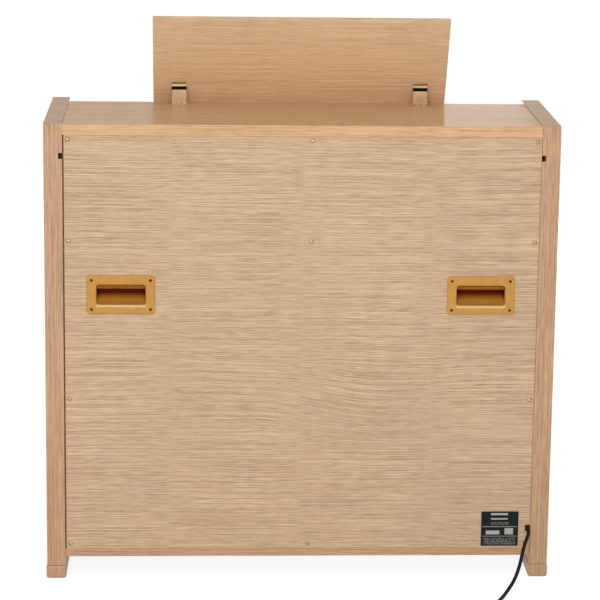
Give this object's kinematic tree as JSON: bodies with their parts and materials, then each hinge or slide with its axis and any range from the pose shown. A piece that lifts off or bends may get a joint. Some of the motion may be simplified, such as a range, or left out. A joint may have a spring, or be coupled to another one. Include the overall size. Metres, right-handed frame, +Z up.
{
  "type": "electronic organ",
  "caption": "Home electronic organ console in oak: stacked keyboards under a sliding lid, swell pedals, music desk, and a back panel with recessed carrying handles and a mains cord.",
  "frame": {"origin": "on the floor, under the middle of the console's box without its cord", "axes": "+Z up; -Y is the player's side and +Y the back panel; +X is the player's right"},
  "size_m": [1.1744, 0.9954, 1.2895],
  "materials": {
    "oak": "satin lacquered oak, open grain",
    "oak_back": "pale oak veneer, lightly lacquered",
    "oak_inside": "plain unlacquered board",
    "ochre_plastic": "moulded, semi-gloss ochre",
    "brass": "dull lacquered brass",
    "steel": "zinc-plated sheet",
    "black_plastic": "black moulded",
    "ivory_plastic": "polished ivory-coloured",
    "ebony_plastic": "black, finely polished",
    "rubber": "ribbed black rubber",
    "circuit_board": "green solder mask",
    "speaker_cloth": "dark brown woven cloth on a frame",
    "cord_sheath": "black flexible sheath, dull",
    "label_plate": "bare black label"
  },
  "bodies": {
    "console": {"side_panel_left": "oak", "side_panel_right": "oak", "foot_left": "oak", "foot_right": "oak", "top_panel": "oak", "knee_board": "oak", "bottom_board": "oak", "fascia_board": "oak", "stop_board": "oak", "key_cheek_left": "oak", "key_cheek_right": "oak", "key_slip_lower": "oak", "key_slip_upper": "oak", "back_panel": "oak_back", "back_frame": "oak_inside", "key_bed": "oak_inside", "handle_cup_left": "ochre_plastic", "handle_cup_right": "ochre_plastic", "desk_bracket_left": "brass", "desk_bracket_right": "brass", "key_frame_lower": "steel", "key_frame_upper": "steel", "pedal_box": "steel", "pedal_axle": "steel", "amplifier": "steel", "transformer_bolt": "steel", "switch_bezel": "black_plastic", "speaker_left": "black_plastic", "speaker_right": "black_plastic", "transformer": "black_plastic", "mains_plug": "black_plastic", "cord_grommet": "black_plastic", "cord_tie": "rubber", "main_board": "circuit_board", "speaker_grille_left": "speaker_cloth", "speaker_grille_right": "speaker_cloth", "mains_cord": "cord_sheath", "cord_coil": "cord_sheath", "rating_plate": "label_plate"},
    "lid": {"lid_panel": "oak", "lid_rail": "oak"},
    "desk": {"music_desk": "oak", "desk_ledge": "oak", "desk_hook_left": "brass", "desk_hook_right": "brass"},
    "lower_naturals_a": {"lower_naturals_a": "ivory_plastic"},
    "lower_naturals_b": {"lower_naturals_b": "ivory_plastic"},
    "lower_sharps": {"lower_sharps": "ebony_plastic"},
    "pistons_lower": {"pistons_lower": "ivory_plastic"},
    "upper_naturals_a": {"upper_naturals_a": "ivory_plastic"},
    "upper_naturals_b": {"upper_naturals_b": "ivory_plastic"},
    "upper_sharps": {"upper_sharps": "ebony_plastic"},
    "pistons_upper": {"pistons_upper": "ivory_plastic"},
    "stop_tabs_pedal": {"stop_tabs_pedal": "ivory_plastic"},
    "stop_tabs_lower": {"stop_tabs_lower": "ivory_plastic"},
    "stop_tabs_upper": {"stop_tabs_upper": "ivory_plastic"},
    "power_switch": {"power_switch": "black_plastic"},
    "volume_knob": {"volume_knob": "black_plastic"},
    "swell_pedal_left": {"swell_pedal_left": "rubber"},
    "swell_pedal_right": {"swell_pedal_right": "rubber"}
  },
  "joints": [
    {"name": "lid_slide", "type": "slide", "parent": "console", "child": "lid", "axis": [0, -0.9752, -0.2215], "range_m": [0, 0.26]},
    {"name": "desk_lift", "type": "slide", "parent": "console", "child": "desk", "axis": [0, 0, 1], "range_m": [0, 0.045]},
    {"name": "lower_naturals_a_press", "type": "hinge", "parent": "console", "child": "lower_naturals_a", "pos_m": [0, -0.092, 0.757], "axis": [1, 0, 0], "range_deg": [0, 2.9], "stiffness_Nm_per_rad": 10, "springref_deg": -20.05},
    {"name": "lower_naturals_b_press", "type": "hinge", "parent": "console", "child": "lower_naturals_b", "pos_m": [0, -0.092, 0.757], "axis": [1, 0, 0], "range_deg": [0, 2.9], "stiffness_Nm_per_rad": 10, "springref_deg": -20.05},
    {"name": "lower_sharps_press", "type": "hinge", "parent": "console", "child": "lower_sharps", "pos_m": [0, -0.092, 0.757], "axis": [1, 0, 0], "range_deg": [0, 2.9], "stiffness_Nm_per_rad": 10, "springref_deg": -20.05},
    {"name": "upper_naturals_a_press", "type": "hinge", "parent": "console", "child": "upper_naturals_a", "pos_m": [0, 0.016, 0.822], "axis": [1, 0, 0], "range_deg": [0, 2.9], "stiffness_Nm_per_rad": 10, "springref_deg": -20.05},
    {"name": "upper_naturals_b_press", "type": "hinge", "parent": "console", "child": "upper_naturals_b", "pos_m": [0, 0.016, 0.822], "axis": [1, 0, 0], "range_deg": [0, 2.9], "stiffness_Nm_per_rad": 10, "springref_deg": -20.05},
    {"name": "upper_sharps_press", "type": "hinge", "parent": "console", "child": "upper_sharps", "pos_m": [0, 0.016, 0.822], "axis": [1, 0, 0], "range_deg": [0, 2.9], "stiffness_Nm_per_rad": 10, "springref_deg": -20.05},
    {"name": "pistons_lower_push", "type": "slide", "parent": "console", "child": "pistons_lower", "axis": [0, 1, 0], "range_m": [0, 0.003], "stiffness_N_per_m": 300, "springref_m": -0.003},
    {"name": "pistons_upper_push", "type": "slide", "parent": "console", "child": "pistons_upper", "axis": [0, 1, 0], "range_m": [0, 0.003], "stiffness_N_per_m": 300, "springref_m": -0.003},
    {"name": "stop_tabs_pedal_rock", "type": "hinge", "parent": "console", "child": "stop_tabs_pedal", "pos_m": [0, -0.03645, 0.87999], "axis": [1, 0, 0], "range_deg": [0, 10]},
    {"name": "stop_tabs_lower_rock", "type": "hinge", "parent": "console", "child": "stop_tabs_lower", "pos_m": [0, -0.03645, 0.87999], "axis": [1, 0, 0], "range_deg": [0, 10]},
    {"name": "stop_tabs_upper_rock", "type": "hinge", "parent": "console", "child": "stop_tabs_upper", "pos_m": [0, -0.03645, 0.87999], "axis": [1, 0, 0], "range_deg": [0, 10]},
    {"name": "power_switch_rock", "type": "hinge", "parent": "console", "child": "power_switch", "pos_m": [-0.49035, -0.252, 0.783], "axis": [1, 0, 0], "range_deg": [0, 12]},
    {"name": "volume_knob_turn", "type": "hinge", "parent": "console", "child": "volume_knob", "pos_m": [0.49035, -0.252, 0.787], "axis": [0, 0, 1], "range_deg": [-150, 150]},
    {"name": "swell_pedal_left_tilt", "type": "hinge", "parent": "console", "child": "swell_pedal_left", "pos_m": [0, 0.06, 0.205], "axis": [-1, 0, 0], "range_deg": [0, 25]},
    {"name": "swell_pedal_right_tilt", "type": "hinge", "parent": "console", "child": "swell_pedal_right", "pos_m": [0, 0.06, 0.205], "axis": [-1, 0, 0], "range_deg": [0, 25]}
  ]
}
